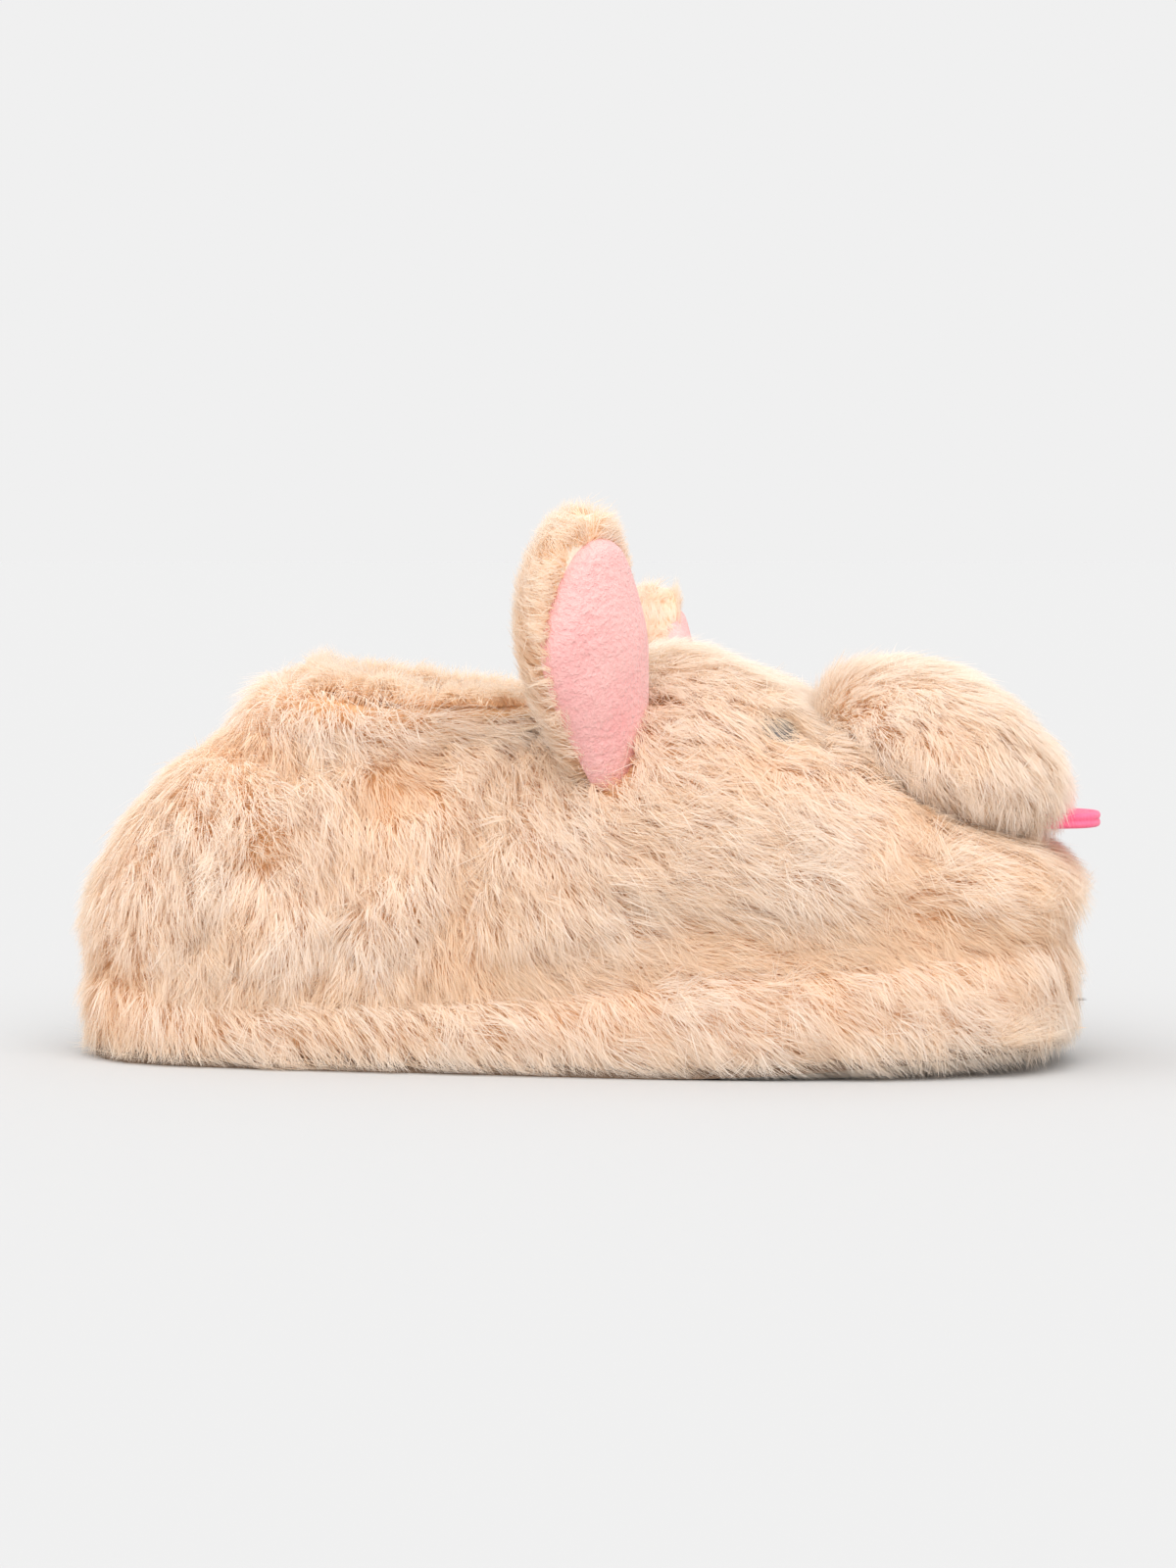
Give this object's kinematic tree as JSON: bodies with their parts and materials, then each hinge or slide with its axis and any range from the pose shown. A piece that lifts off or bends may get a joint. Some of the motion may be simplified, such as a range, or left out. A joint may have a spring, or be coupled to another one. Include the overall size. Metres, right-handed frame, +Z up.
{
  "type": "plush dog-faced slipper",
  "caption": "Deep-pile full-back slipper shaped as a dog's head, with stuffed muzzle, felt tongue, satin eyes and stuffed upright ears. Right foot.",
  "frame": {"origin": "on the floor under the middle of the slipper's length, at the centre of the heel's width", "axes": "+X from heel to toe, +Y to the wearer's left, +Z up"},
  "size_m": [0.2512, 0.1508, 0.1329],
  "materials": {
    "plush": "deep soft pile, cream to light peach",
    "ear_velour": "short pink velour",
    "tongue_felt": "stiff pink felt",
    "nose_velour": "short black velour",
    "eye_satin": "dark satin dome",
    "fleece": "short cream fleece",
    "grip_sole": "matt brown grip sheet"
  },
  "bodies": {
    "root": {"upper": "plush", "sole_wrap": "plush", "outsole": "grip_sole", "insole": "fleece", "muzzle": "plush", "nose": "nose_velour", "tongue": "tongue_felt", "ear_right": "plush", "ear_lining_right": "ear_velour", "eye_right": "eye_satin", "ear_left": "plush", "ear_lining_left": "ear_velour", "eye_left": "eye_satin"}
  },
  "joints": []
}
